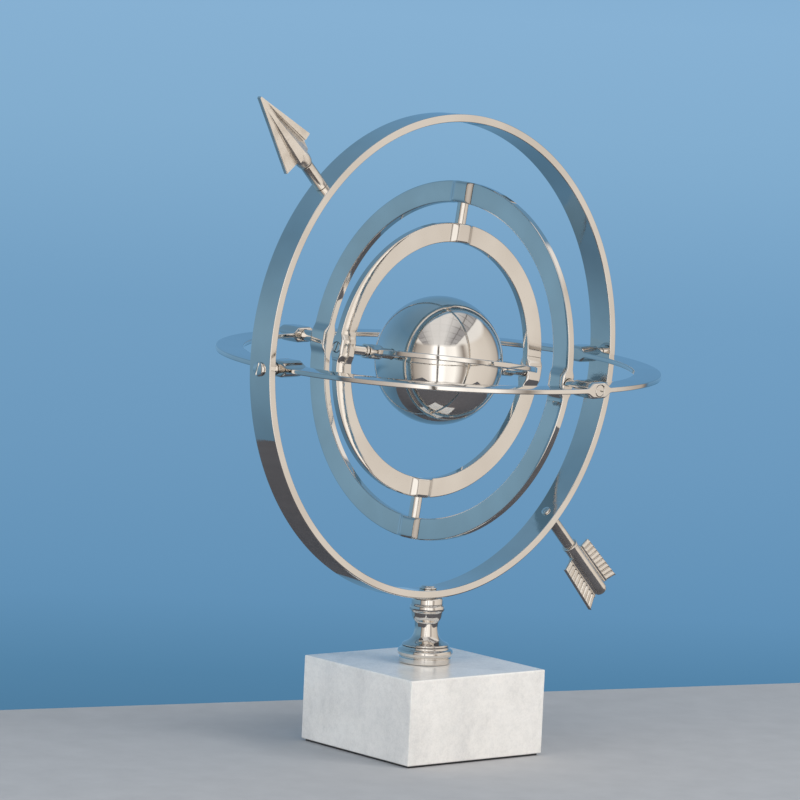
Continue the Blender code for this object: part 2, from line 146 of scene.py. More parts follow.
pivot = Vector(joint_row("ring_1_turn")["pos_m"])
hoop_low, hoop_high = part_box("hoop")
hoop_centre = (hoop_low + hoop_high) / 2
hoop_radius = (hoop_high.x - hoop_low.x) / 2
hoop_width = hoop_high.y - hoop_low.y
hoop_inner = hoop_radius - HOOP_THICKNESS
x_1 = joint_axis("ring_1_turn")
y_1 = joint_axis("ring_2_turn")
z_2 = joint_axis("ring_3_turn")
x_3 = joint_axis("ring_4_turn")
frame_1 = axes_frame(x_1, y_1, x_1.cross(y_1), pivot)
frame_2 = axes_frame(y_1.cross(z_2), y_1, z_2, pivot)
frame_3 = axes_frame(x_3, z_2.cross(x_3), z_2, pivot)
frame_4 = frame_3 @ Matrix.Rotation(RING_4_TURN, 4, "X")
at_hoop = Matrix.Translation(hoop_centre)
at_pivot = Matrix.Translation(pivot)
head_way = Vector((math.cos(ARROW_ANGLE), 0, math.sin(ARROW_ANGLE)))
arrow_side = Vector((-head_way.z, 0, head_way.x))


# ---------------------------------------------------------------- node helpers

class NodeKit:
    """The node helpers that the finishes and the world share."""

    def __init__(self, tree):
        self.nodes = tree.nodes
        self.links = tree.links

    def feed(self, socket, value):
        """Give a socket another node's output, a colour or a number."""
        if isinstance(value, bpy.types.NodeSocket):
            self.links.new(value, socket)
        elif isinstance(value, tuple):
            socket.default_value = (*value, 1.0)
        else:
            socket.default_value = value

    def combine(self, kind, first, second):
        node = self.nodes.new("ShaderNodeMath")
        node.operation = kind
        for socket, value in zip(node.inputs, (first, second)):
            self.feed(socket, value)
        return node.outputs[0]

    def mix(self, kind, amount, first, second):
        node = self.nodes.new("ShaderNodeMixRGB")
        node.blend_type = kind
        for socket, value in zip(node.inputs, (amount, first, second)):
            self.feed(socket, value)
        return node.outputs["Color"]

    def ramp(self, value, stops):
        """A colour ramp of (place, colour) stops, for a value from 0 to 1."""
        node = self.nodes.new("ShaderNodeValToRGB")
        while len(node.color_ramp.elements) < len(stops):
            node.color_ramp.elements.new(0.5)
        for element, (place, colour) in zip(node.color_ramp.elements, stops):
            element.position = place
            element.color = (*colour, 1.0)
        self.links.new(value, node.inputs["Fac"])
        return node.outputs["Color"]


class Paint(NodeKit):
    """A material in the making."""

    def __init__(self, name, metallic, roughness):
        self.material = bpy.data.materials.new(name)
        self.material.use_nodes = True
        super().__init__(self.material.node_tree)
        self.shader = self.nodes["Principled BSDF"]
        self.shader.inputs["Metallic"].default_value = metallic
        self.shader.inputs["Roughness"].default_value = roughness
        self.place = self.nodes.new("ShaderNodeTexCoord").outputs["Object"]

    def noise(self, scale, detail=4.0, roughness=0.55, distortion=0.0, place=None):
        node = self.nodes.new("ShaderNodeTexNoise")
        node.inputs["Scale"].default_value = scale
        node.inputs["Detail"].default_value = detail
        node.inputs["Roughness"].default_value = roughness
        node.inputs["Distortion"].default_value = distortion
        self.links.new(place or self.place, node.inputs["Vector"])
        return node.outputs["Fac"]

    def stretched(self, scale):
        node = self.nodes.new("ShaderNodeMapping")
        node.inputs["Scale"].default_value = scale
        self.links.new(self.place, node.inputs["Vector"])
        return node.outputs["Vector"]

    def spread(self, value, low, high, out_low, out_high):
        """Carry a value from one range to another."""
        node = self.nodes.new("ShaderNodeMapRange")
        numbers = {"From Min": low, "From Max": high, "To Min": out_low, "To Max": out_high}
        for socket, number in numbers.items():
            node.inputs[socket].default_value = number
        self.links.new(value, node.inputs["Value"])
        return node.outputs["Result"]

    def bump(self, height, depth, strength, under=None):
        node = self.nodes.new("ShaderNodeBump")
        node.inputs["Distance"].default_value = depth
        node.inputs["Strength"].default_value = strength
        self.links.new(height, node.inputs["Height"])
        if under is not None:
            self.links.new(under, node.inputs["Normal"])
        return node.outputs["Normal"]

    def set(self, socket, value):
        self.links.new(value, self.shader.inputs[socket])


# ---------------------------------------------------------------- finishes

def polished_nickel(name, waviness):
    """Mirror plate: a warm tint that drifts, faint smears, and the slight waves of buffing."""
    paint = Paint(name, metallic=1.0, roughness=0.05)
    cloud = paint.noise(14.0, detail=3.0)
    tint = paint.ramp(cloud, ((0.35, (0.765, 0.725, 0.680)), (0.62, (0.845, 0.815, 0.775))))
    paint.set("Base Color", tint)
    drawn_out = paint.stretched((1.0, 1.0, 2.6))
    smear = paint.noise(38.0, detail=5.0, roughness=0.6, distortion=0.8, place=drawn_out)
    lines = paint.stretched((1.0, 0.06, 1.0))
    hairline = paint.noise(900.0, detail=2.0, roughness=0.5, place=lines)
    worn = paint.spread(smear, 0.42, 0.72, 0.028, 0.085)
    fine = paint.spread(hairline, 0.55, 0.80, 0.0, 0.030)
    paint.set("Roughness", paint.combine("ADD", worn, fine))
    wave = paint.bump(paint.noise(26.0, detail=1.0, roughness=0.4), 0.0012, waviness)
    pits = paint.bump(paint.noise(520.0, detail=3.0), 0.00004, 0.20, wave)
    paint.set("Normal", pits)
    return paint.material


def cast_nickel(name, gloss, depth):
    """Satin plate over a sand-cast surface: grain, small pits and darker hollows."""
    paint = Paint(name, metallic=1.0, roughness=0.3)
    patch = paint.noise(60.0, detail=5.0, roughness=0.6)
    grain = paint.noise(1500.0, detail=3.0, roughness=0.6)
    tone = paint.ramp(patch, (
        (0.34, (0.76, 0.71, 0.65)), (0.50, (0.88, 0.835, 0.775)), (0.68, (0.94, 0.90, 0.85)),
    ))
    spots = paint.noise(420.0, detail=2.0)
    speck = paint.ramp(spots, ((0.22, (0.30, 0.27, 0.24)), (0.34, (1.0, 1.0, 1.0))))
    paint.set("Base Color", paint.mix("MULTIPLY", 0.5, tone, speck))
    paint.set("Roughness", paint.spread(paint.combine("ADD", patch, grain), 0.75, 1.25, *gloss))
    rough = paint.bump(grain, 0.00006, 0.55 * depth)
    dents = paint.bump(paint.noise(230.0, detail=3.0), 0.00018, 0.35 * depth, rough)
    paint.set("Normal", dents)
    return paint.material


def plain_steel(name):
    """Turned steel with fine lathe lines, for what is hidden."""
    paint = Paint(name, metallic=1.0, roughness=0.35)
    across = paint.stretched((0.05, 1.0, 1.0))
    lines = paint.noise(1400.0, detail=2.0, roughness=0.5, place=across)
    grey = paint.ramp(lines, ((0.3, (0.40, 0.40, 0.41)), (0.7, (0.62, 0.62, 0.63))))
    paint.set("Base Color", grey)
    paint.set("Roughness", paint.spread(lines, 0.3, 0.7, 0.28, 0.48))
    paint.set("Normal", paint.bump(lines, 0.00005, 0.4))
    return paint.material


def marble(name):
    """Pale marble: soft grey clouds, a fine granular mottle and a few faint smoky patches."""
    paint = Paint(name, metallic=0.0, roughness=0.16)
    lean = paint.stretched((11.0, 11.0, 8.0))
    cloud = paint.noise(1.3, detail=6.0, roughness=0.62, distortion=0.15, place=lean)
    smoke = paint.noise(2.6, detail=8.0, roughness=0.72, distortion=0.35, place=lean)
    mottle = paint.noise(190.0, roughness=0.70, distortion=0.2)
    crystal = paint.noise(620.0, detail=3.0, roughness=0.7)
    ground = paint.ramp(cloud, (
        (0.34, (0.84, 0.835, 0.825)), (0.50, (0.905, 0.895, 0.875)),
        (0.64, (0.935, 0.925, 0.905)),
    ))
    patch = paint.ramp(smoke, (
        (0.30, (0.78, 0.785, 0.79)), (0.44, (0.95, 0.95, 0.95)), (0.58, (1.0, 1.0, 1.0)),
    ))
    speckle = paint.ramp(mottle, ((0.36, (0.90, 0.905, 0.91)), (0.58, (1.0, 1.0, 1.0))))
    grain = paint.ramp(crystal, ((0.34, (0.90, 0.90, 0.90)), (0.60, (1.0, 1.0, 1.0))))
    clouded = paint.mix("MULTIPLY", 0.75, ground, patch)
    stone = paint.mix("MULTIPLY", 0.65, clouded, speckle)
    paint.set("Base Color", paint.mix("MULTIPLY", 0.6, stone, grain))
    paint.set("Roughness", paint.spread(crystal, 0.35, 0.70, 0.08, 0.20))
    paint.set("Normal", paint.bump(crystal, 0.00004, 0.25))
    paint.shader.inputs["Subsurface Weight"].default_value = 0.12
    paint.shader.inputs["Subsurface Radius"].default_value = (0.010, 0.009, 0.008)
    paint.shader.inputs["Subsurface Scale"].default_value = 0.6
    return paint.material


def felt(name):
    """Dark felt with a fine fibre."""
    paint = Paint(name, metallic=0.0, roughness=0.95)
    fibre = paint.noise(1600.0, roughness=0.7)
    pile = paint.ramp(fibre, ((0.3, (0.012, 0.012, 0.014)), (0.7, (0.055, 0.055, 0.06))))
    paint.set("Base Color", pile)
    paint.set("Normal", paint.bump(fibre, 0.0002, 0.8))
    paint.shader.inputs["Sheen Weight"].default_value = 0.3
    return paint.material


NICKEL = polished_nickel("polished_nickel", waviness=0.22)
BALL_NICKEL = polished_nickel("ball_nickel", waviness=0.05)
CAST = cast_nickel("cast_nickel", gloss=(0.20, 0.40), depth=1.0)
SATIN = cast_nickel("satin_nickel", gloss=(0.10, 0.22), depth=0.5)
STEEL = plain_steel("plain_steel")
MARBLE = marble("marble")
FELT = felt("felt")


# ---------------------------------------------------------------- mesh helpers

def softened(points, radius, steps=4, closed=False):
    """A polyline with each corner turned into an arc, shorter where a side is short."""
    made = []
    count = len(points)
    for number, corner in enumerate(points):
        if not closed and number in (0, count - 1):
            made.append(corner)
            continue
        before = Vector(points[number - 1])
        after = Vector(points[(number + 1) % count])
        here = Vector(corner)
        back, ahead = before - here, after - here
        reach = min(radius, back.length * CORNER_REACH, ahead.length * CORNER_REACH)
        start = here + back.normalized() * reach
        end = here + ahead.normalized() * reach
        for step in range(steps + 1):
            share = step / steps
            low, high = start.lerp(here, share), here.lerp(end, share)
            made.append(tuple(low.lerp(high, share)))
    return made


def new_object(name, work, material, place, smooth=True):
    """Turn a bmesh into an object in the row frame with a finish."""
    bmesh.ops.recalc_face_normals(work, faces=work.faces)
    mesh = bpy.data.meshes.new(name)
    work.to_mesh(mesh)
    work.free()
    mesh.transform(place)
    mesh.materials.append(material)
    if smooth:
        mesh.shade_smooth()
        mesh.set_sharp_from_angle(angle=SHARP_ANGLE)
    made = bpy.data.objects.new(name, mesh)
    bpy.context.scene.collection.objects.link(made)
    if smooth:
        weigh = made.modifiers.new("even_shading", "WEIGHTED_NORMAL")
        weigh.keep_sharp = True
    return made


def lathe(name, profile, along, place, material, steps):
    """Spin an outline of (distance, radius) pairs about a line through the place's origin."""
    along = Vector(along).normalized()
    across = along.orthogonal().normalized()
    work = bmesh.new()
    points = [work.verts.new(along * distance + across * radius) for distance, radius in profile]
    loop = [work.edges.new(pair) for pair in zip(points, points[1:])]
    if min(profile[0][1], profile[-1][1]) > 0.0:
        loop.append(work.edges.new((points[-1], points[0])))
    bmesh.ops.spin(
        work, geom=points + loop, cent=(0, 0, 0), axis=along, angle=2 * math.pi, steps=steps,
        use_merge=True,
    )
    bmesh.ops.remove_doubles(work, verts=work.verts, dist=1e-7)
    return new_object(name, work, material, place)


def box_mesh(size, centre):
    work = bmesh.new()
    bmesh.ops.create_cube(work, size=1.0)
    bmesh.ops.scale(work, vec=size, verts=work.verts)
    bmesh.ops.translate(work, vec=centre, verts=work.verts)
    return work


def stand_for(piece, body, *nodes):
    """The piece rides the body and takes the place of CAD nodes."""
    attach(piece, body)
    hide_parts(*nodes)
    return piece


def cut_away(target, cutter):
    """Cut one mesh out of another for good."""
    change = target.modifiers.new("cut", "BOOLEAN")
    change.operation = "DIFFERENCE"
    change.solver = "EXACT"
    change.object = cutter
    target.modifiers.move(len(target.modifiers) - 1, 0)
    bpy.context.view_layer.update()
    graph = bpy.context.evaluated_depsgraph_get()
    weigh = target.modifiers["even_shading"]
    weigh.show_viewport = False
    graph.update()
    mesh = bpy.data.meshes.new_from_object(target.evaluated_get(graph))
    weigh.show_viewport = True
    target.modifiers.remove(change)
    target.data = mesh
    mesh.shade_smooth()
    mesh.set_sharp_from_angle(angle=CUT_SHARP_ANGLE)
    bpy.data.objects.remove(cutter, do_unlink=True)


def slot_end(target, way, end, place, width=SLOT_WIDTH, depth=SLOT_DEPTH):
    """A screwdriver slot across the face of a pin or screw that ends at a distance along way."""
    way = Vector(way).normalized()
    side = way.orthogonal().normalized()
    local = Matrix((side, way.cross(side), way)).transposed().to_4x4()
    turned = place @ local @ Matrix.Rotation(SLOT_TURN, 4, "Z")
    work = box_mesh((width, SLOT_LENGTH, 2 * depth), (0, 0, end))
    cut_away(target, new_object("cutter", work, STEEL, turned, smooth=False))


def bore(target, way, start, end, radius, place, mouth):
    """A round hole through a boss, countersunk where it opens at the mouth's distance."""
    wide = radius + 2 * COUNTERSINK
    outline = (
        (start, 0.0), (start, radius), (mouth - COUNTERSINK, radius), (mouth + COUNTERSINK, wide),
        (end, wide), (end, 0.0),
    )
    cut_away(target, lathe("cutter", outline, way, place, STEEL, SMALL_STEPS))


def pin_outline(radius, start, end):
    return softened(((start, 0.0), (start, radius), (end, radius), (end, 0.0)), PIN_EDGE, 3)


def screw_outline(screw, seat, reach):
    """A low dome from the seat outwards, then a shank to reach."""
    sign = 1.0 if seat > reach else -1.0
    dome = []
    for step in range(11):
        turn = math.pi / 2 * step / 10
        rise = screw.height * (HEAD_RIM + (1 - HEAD_RIM) * math.sin(turn))
        dome.append((seat + sign * rise, screw.radius * math.cos(turn)))
    return [
        (reach, 0.0), (reach, screw.shank), (seat, screw.shank),
        (seat, screw.radius - HEAD_EDGE), (seat + sign * HEAD_EDGE, screw.radius), *dome,
    ]


# ---------------------------------------------------------------- rings

def boss_swell(side, half_length):
    """How far the face has risen, from 0 to 1, at a distance to one side of a boss's middle."""
    share = (abs(side) / half_length - BOSS_FLAT) / (BOSS_FOOT - BOSS_FLAT)
    return math.cos(min(max(share, 0.0), 1.0) * math.pi / 2) ** 2


def ring_section(size, half_height, swell):
    """Points (radius, height) of a band's section, its edges rounder where a boss swells it."""
    edge = min(RING_EDGE, half_height * RING_EDGE_LIMIT) + BOSS_EDGE * swell
    flat = size.outer - size.inner - 2 * edge
    level = half_height - edge
    top = []
    for step in range(5):
        turn = math.pi / 2 * step / 4
        top.append((size.outer - edge + edge * math.cos(turn), level + edge * math.sin(turn)))
    for step in range(1, 8):
        share = step / 8
        bow = RING_CROWN * (1 - (2 * share - 1) ** 2)
        top.append((size.outer - edge - flat * share, half_height + bow))
    for step in range(5):
        turn = math.pi / 2 * (1 + step / 4)
        top.append((size.inner + edge + edge * math.cos(turn), level + edge * math.sin(turn)))
    return top + [(radius, -height) for radius, height in reversed(top)]


def ring_stations(half_length, bosses):
    """For each station round the ring: how its angle depends on radius, and its distance from
    the middle of a boss. Boss stations are parallel, so that a boss has straight ends."""
    quarter = math.pi / 2
    stations = []
    for number in range(4):
        middle = number * quarter
        if number in bosses:
            for step in range(BOSS_STEPS):
                side = half_length * (2 * step / BOSS_STEPS - 1)
                stations.append((lambda radius, m=middle, s=side: m + math.asin(s / radius), side))
        begins = half_length if number in bosses else 0.0
        ends = half_length if (number + 1) % 4 in bosses else 0.0
        for step in range(PLAIN_STEPS):
            share = step / PLAIN_STEPS

            def angle(radius, m=middle, b=begins, e=ends, part=share):
                first, last = math.asin(b / radius), quarter - math.asin(e / radius)
                return m + first + (last - first) * part

            stations.append((angle, half_length))
    return stations


def ring(name, bosses, first, second, place, body):
    """A flat ring with bosses at some of its four quarters, counted from first to second."""
    size = RINGS[name]
    first, second = Vector(first), Vector(second)
    normal = first.cross(second)
    work = bmesh.new()
    loops = []
    for angle, side in ring_stations(size.boss_half_length, bosses):
        swell = boss_swell(side, size.boss_half_length)
        half = size.thickness / 2 + (size.boss_thickness - size.thickness) / 2 * swell
        loop = []
        for radius, height in ring_section(size, half, swell):
            turn = angle(radius)
            spot = first * math.cos(turn) + second * math.sin(turn)
            loop.append(work.verts.new(spot * radius + normal * height))
        loops.append(loop)
    for here, after in zip(loops, loops[1:] + loops[:1]):
        for corner in range(len(here)):
            beside = (corner + 1) % len(here)
            work.faces.new((here[corner], here[beside], after[beside], after[corner]))
    made = new_object(name + "_surface", work, NICKEL, place)
    return stand_for(made, body, name)


ALL_FOUR = (0, 1, 2, 3)
ring_1 = ring("ring_1_horizon", ALL_FOUR, (1, 0, 0), (0, 1, 0), frame_1, "ring_1")
ring_2 = ring("ring_2_upright", ALL_FOUR, (0, 1, 0), (0, 0, 1), frame_2, "ring_2")
ring_3 = ring("ring_3_upright", ALL_FOUR, (1, 0, 0), (0, 0, -1), frame_3, "ring_3")
ring_4 = ring("ring_4_equator", (0, 2), (1, 0, 0), (0, 1, 0), frame_4, "ring_4")

# ---------------------------------------------------------------- hoop and its screws and pins

half_width = hoop_width / 2
band = [
    (-half_width, hoop_inner), (-half_width, hoop_radius), (half_width, hoop_radius),
    (half_width, hoop_inner),
]
band = softened(band, HOOP_EDGE, closed=True)
hoop = lathe("hoop_band", band, (0, 1, 0), at_hoop, NICKEL, HOOP_STEPS)
stand_for(hoop, "stand", "hoop")

horizon = RINGS["ring_1_horizon"]
for label, hand in (("left", -1), ("right", 1)):
    way = Vector((hand, 0, 0))
    inner_end = horizon.outer - PIN_DEPTH
    outline = pin_outline(PIN_RADIUS, inner_end, hoop_inner - HOOP_PIN_GAP)
    pin = lathe("hoop_pin_%s_round" % label, outline, way, at_pivot, NICKEL, SMALL_STEPS)
    stand_for(pin, "stand", "hoop_pin_" + label)
    seat = hoop_radius + SEAT_GAP
    outline = screw_outline(HOOP_SCREW, seat, hoop_inner - HOOP_SCREW_LENGTH)
    screw = lathe("hoop_screw_%s_dome" % label, outline, way, at_pivot, NICKEL, SMALL_STEPS)
    slot_end(screw, way, seat + HOOP_SCREW.height, at_pivot)
    stand_for(screw, "stand", "hoop_screw_" + label)
    bore(ring_1, way, inner_end - HOLE_BOTTOM, horizon.outer + CUT_MARGIN, PIN_RADIUS + GAP,
         frame_1, horizon.outer)

# ---------------------------------------------------------------- pins between the rings

for outer_name, inner_name, outer, inner, place, inner_place, body, ends in (
    ("ring_1_horizon", "ring_2_upright", ring_1, ring_2, frame_1, frame_2, "ring_1",
     (("front", (0, -1, 0)), ("back", (0, 1, 0)))),
    ("ring_2_upright", "ring_3_upright", ring_2, ring_3, frame_2, frame_3, "ring_2",
     (("upper", (0, 0, 1)), ("lower", (0, 0, -1)))),
):
    outer_size, inner_size = RINGS[outer_name], RINGS[inner_name]
    outer_end = outer_size.outer - GAP
    inner_end = inner_size.outer - PIN_DEPTH
    hole = PIN_RADIUS + GAP
    for label, way in ends:
        outline = pin_outline(PIN_RADIUS, inner_end, outer_end)
        pin = lathe(label + "_pin_round", outline, way, place, NICKEL, SMALL_STEPS)
        slot_end(pin, way, outer_end, place, depth=PIN_SLOT_DEPTH)
        stand_for(pin, body, label + "_pin")
        bore(outer, way, outer_size.inner - CUT_MARGIN, outer_size.outer + CUT_MARGIN, hole,
             place, outer_size.outer)
        bore(inner, way, inner_end - HOLE_BOTTOM, inner_size.outer + CUT_MARGIN, hole,
             inner_place, inner_size.outer)

# ---------------------------------------------------------------- axle pins, collars and ball

carrier, equator = RINGS["ring_3_upright"], RINGS["ring_4_equator"]
hole = AXLE_RADIUS + GAP
for label, hand in (("left", -1), ("right", 1)):
    way = (hand, 0, 0)
    outline = pin_outline(AXLE_RADIUS, AXLE_TIP, carrier.outer - GAP)
    axle = lathe("axle_pin_%s_round" % label, outline, way, frame_3, NICKEL, SMALL_STEPS)
    slot_end(axle, way, carrier.outer - GAP, frame_3, depth=PIN_SLOT_DEPTH)
    stand_for(axle, "ring_3", "axle_pin_" + label)
    for target, size, place in ((ring_3, carrier, frame_3), (ring_4, equator, frame_4)):
        bore(target, way, size.inner - CUT_MARGIN, size.outer + CUT_MARGIN, hole, place,
             size.outer)
    for spot, start in (
        ("inner", equator.inner - COLLAR_GAP - COLLAR_LENGTH),
        ("outer", equator.outer + COLLAR_GAP),
    ):
        end = start + COLLAR_LENGTH
        outline = ((start, hole), (start, COLLAR_RADIUS), (end, COLLAR_RADIUS), (end, hole))
        outline = softened(outline, SMALL_EDGE, 3, closed=True)
        node = "axle_collar_%s_%s" % (spot, label)
        collar = lathe(node + "_round", outline, way, frame_3, NICKEL, SMALL_STEPS)
        stand_for(collar, "ring_3", node)

pole = math.asin(hole / BALL_RADIUS)
turns = [pole + (math.pi - 2 * pole) * step / 64 for step in range(65)]
outline = [(BALL_RADIUS * math.cos(turn), BALL_RADIUS * math.sin(turn)) for turn in turns]
inside = BALL_RADIUS - BALL_SHELL
outline += [(inside * math.cos(turn), inside * math.sin(turn)) for turn in reversed(turns)]
ball = lathe("ball_surface", outline, (1, 0, 0), frame_4, BALL_NICKEL, BALL_STEPS)
stand_for(ball, "ball", "sphere_shell")

# ---------------------------------------------------------------- stem
# Outlines are (height above the block, radius) pairs, from the bore upwards and round.

base_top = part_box("base_block")[1].z
FOOT = (
    (0.0003, 0.0046), (0.0003, 0.0231), (0.0052, 0.0231), (0.0058, 0.0224), (0.0064, 0.0224),
    (0.0074, 0.0241), (0.0098, 0.0248), (0.0122, 0.0241), (0.0132, 0.0218), (0.0152, 0.0215),
    (0.0152, 0.0046),
)
COLUMN = (
    (0.0155, 0.0046), (0.0155, 0.0209), (0.0172, 0.0206), (0.0188, 0.0168), (0.0212, 0.0134),
    (0.0246, 0.0114), (0.0312, 0.0103), (0.0368, 0.0105), (0.0386, 0.0119), (0.0408, 0.0131),
    (0.0455, 0.0138), (0.0462, 0.0142), (0.0470, 0.0153), (0.0491, 0.0157), (0.0514, 0.0153),
    (0.0524, 0.0139), (0.0530, 0.0141), (0.0570, 0.0141), (0.0586, 0.0132), (0.0586, 0.0040),
)
at_base_top = Matrix.Translation((0, 0, base_top))
for node, outline, edge in (("stem_foot", FOOT, 0.0012), ("stem_column", COLUMN, 0.0018)):
    outline = softened(outline, edge, closed=True)
    turned = lathe(node + "_turned", outline, (0, 0, 1), at_base_top, NICKEL, STEM_STEPS)
    stand_for(turned, "stand", node)

bolt_low, bolt_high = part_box("hoop_bolt")
bolt_seat = hoop_low.z + HOOP_THICKNESS + SEAT_GAP
BOLT = (
    (bolt_low.z, 0.0), (bolt_low.z, 0.003), (bolt_seat, 0.003), (bolt_seat, 0.0078),
    (bolt_seat + 0.0013, 0.0078), (bolt_seat + 0.0015, 0.0064), (bolt_high.z - 0.0004, 0.0060),
    (bolt_high.z, 0.0045), (bolt_high.z, 0.0),
)
outline = softened(BOLT, 0.0005, 3)
bolt = lathe("hoop_bolt_button", outline, (0, 0, 1), Matrix.Identity(4), NICKEL, MIDDLE_STEPS)
stand_for(bolt, "stand", "hoop_bolt")

# ---------------------------------------------------------------- base

base_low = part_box("base_block")[0].z
work = box_mesh((BASE_SIDE, BASE_SIDE, base_top - base_low), (0, 0, (base_top + base_low) / 2))
bmesh.ops.bevel(
    work, geom=work.edges[:], offset=BASE_EDGE, segments=3, profile=0.6, affect="EDGES"
)
block = new_object("marble_block", work, MARBLE, Matrix.Rotation(BASE_TURN, 4, "Z"))
stand_for(block, "stand", "base_block")

# ---------------------------------------------------------------- arrow head
# A point of the arrow is a distance from the hoop's centre and a step to its side.

BLADE_TIP = Vector((0.3213, 0.0009))
# The blade's hind edge from the short barb to the long one: share of the width, distance, side.
BLADE_HIND = (
    (-1.0, 0.2585, -0.0197), (-0.62, 0.2577, -0.0124), (-0.46, 0.2505, -0.0092),
    (0.41, 0.2500, 0.0090), (1.0, 0.2515, 0.0220),
)
BLADE_HALF = 0.0020
BLADE_EDGE = 0.0003
BLADE_EDGE_START = 0.97
PLATEAU_START = 0.24
PLATEAU_RISE = 0.0044
HOLLOW_DEPTH = 0.0016
HOLLOW_START = 0.6
# Across the blade: share of the width, how much of the plateau's rise, how much of the hollow.
BLADE_LEVELS = (
    (-1.0, 0.0, 0.0), (-0.64, 0.0, 0.0), (-0.62, 0.0, 1.0), (-0.58, 0.0, 1.0),
    (-0.16, 0.93, 0.0), (0.0, 1.0, 0.0), (0.32, 0.94, 0.0), (0.385, 0.0, 0.25),
    (0.41, 0.0, 0.0), (0.44, 0.0, 0.0), (0.46, 0.0, 0.45), (0.48, 0.0, 0.0), (1.0, 0.0, 0.0),
)
SOCKET = (
    (0.2640, 0.0), (0.2580, 0.0042), (0.2525, 0.0066), (0.2480, 0.0074), (0.2440, 0.0070),
    (0.2405, 0.0059), (0.2402, 0.0),
)


def hind_edge(share):
    """A point of the hind edge, for a share from -1 at the short barb to 1 at the long one."""
    for (low, *first), (high, *last) in zip(BLADE_HIND, BLADE_HIND[1:]):
        if share <= high:
            return Vector(first).lerp(Vector(last), (share - low) / (high - low))
    return Vector(BLADE_HIND[-1][1:])


def blade_lift(share, part):
    """Half the blade's thickness, part of the way from its tip to its hind edge: two flat bars,
    a groove, a hollow, and a plateau that rises to the socket."""
    rise = PLATEAU_RISE * max(0.0, (part - PLATEAU_START) / (1 - PLATEAU_START))
    depth = HOLLOW_DEPTH * min(1.0, max(0.0, part / PLATEAU_START - HOLLOW_START))
    for (low, up, down), (high, next_up, next_down) in zip(BLADE_LEVELS, BLADE_LEVELS[1:]):
        if share <= high:
            along = (share - low) / (high - low)
            lift = BLADE_HALF + rise * (up + (next_up - up) * along)
            lift -= depth * (down + (next_down - down) * along)
            break
    return lift - (BLADE_EDGE if abs(share) > BLADE_EDGE_START else 0.0)


def plate(name, spot_at, lift_at, rows, columns):
    """A closed plate from a grid of spots, the same on both faces. Spots are (distance, side)
    pairs in the arrow's own frame, and a lift is half the plate's thickness there."""
    work = bmesh.new()
    faces = []
    for front in (-1, 1):
        grid = []
        for row in range(rows + 1):
            line = []
            for number in range(columns + 1):
                down, across = row / rows, number / columns
                spot = spot_at(down, across)
                lift = Vector((0, front * lift_at(down, across), 0))
                line.append(work.verts.new(head_way * spot.x + arrow_side * spot.y + lift))
            grid.append(line)
        faces.append(grid)
    rims = []
    for grid in faces:
        for upper, lower in zip(grid, grid[1:]):
            for step in range(columns):
                work.faces.new((upper[step], upper[step + 1], lower[step + 1], lower[step]))
        right = [line[-1] for line in grid[1:]]
        left = [line[0] for line in grid[-2:0:-1]]
        rims.append(grid[0] + right + grid[-1][-2::-1] + left)
    front_rim, back_rim = rims
    for step in range(len(front_rim)):
        after = (step + 1) % len(front_rim)
        work.faces.new((front_rim[step], front_rim[after], back_rim[after], back_rim[step]))
    return new_object(name, work, CAST, at_hoop)


def blade_spot(down, across):
    share = 2 * across - 1
    return Vector((BLADE_TIP.x, BLADE_TIP.y * share)).lerp(hind_edge(share), down)


head = plate(
    "arrow_head_blade", blade_spot, lambda down, across: blade_lift(2 * across - 1, down),
    rows=60, columns=200,
)
stand_for(head, "stand", "arrow_head")
outline = softened(SOCKET, 0.0016)
socket = lathe("arrow_head_socket", outline, head_way, at_hoop, CAST, SMALL_STEPS)
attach(socket, "stand")

# ---------------------------------------------------------------- arrow shafts, body and vanes

for label, way, radius, end in (
    ("arrow_shaft", head_way, 0.0056, 0.2401),
    ("tail_shaft", -head_way, 0.0057, 0.2528),
):
    start = hoop_radius + SEAT_GAP
    hole = ARROW_SCREW.shank + GAP
    outline = ((start, hole), (start, radius), (end, radius), (end, hole))
    outline = softened(outline, SMALL_EDGE, 3, closed=True)
    shaft = lathe(label + "_turned", outline, way, at_hoop, SATIN, SMALL_STEPS)
    stand_for(shaft, "stand", label)
    seat = hoop_inner - SEAT_GAP
    outline = screw_outline(ARROW_SCREW, seat, ARROW_SCREW_REACH)
    screw = lathe(label + "_screw_dome", outline, way, at_hoop, NICKEL, SMALL_STEPS)
    slot_end(screw, way, seat - ARROW_SCREW.height, at_hoop, ARROW_SLOT_WIDTH, ARROW_SLOT_DEPTH)
    stand_for(screw, "stand", label + "_screw")

TAIL = (
    (0.2530, 0.0), (0.2530, 0.0067), (0.2534, 0.0074), (0.2552, 0.0075), (0.2557, 0.0069),
    (0.3135, 0.0069), (0.3168, 0.0060), (0.3189, 0.0038), (0.3195, 0.0),
)
outline = softened(TAIL, 0.0008)
tail_body = lathe("tail_body_turned", outline, -head_way, at_hoop, SATIN, MIDDLE_STEPS)
stand_for(tail_body, "stand", "tail_body")

# A vane's corners: (distance, side) where it starts and ends, at its root and at its outer edge.
VANE_START = Vector((0.2650, 0.0064)), Vector((0.2670, 0.0190))
VANE_END = Vector((0.3128, 0.0064)), Vector((0.3200, 0.0215))
VANE_HALF = 0.0020
VANE_RIBS = 9
VANE_GROOVE = 0.0015
VANE_GROOVE_SHARPNESS = 0.6
VANE_ROOT = 0.26
VANE_ROOT_RISE = 0.0012
VANE_ROOT_HOLLOW = 0.0011
# Shares of a vane's width in which the grooves deepen past the root and fade at the outer edge.
VANE_GROOVE_START = 0.05
VANE_GROOVE_END = 0.02


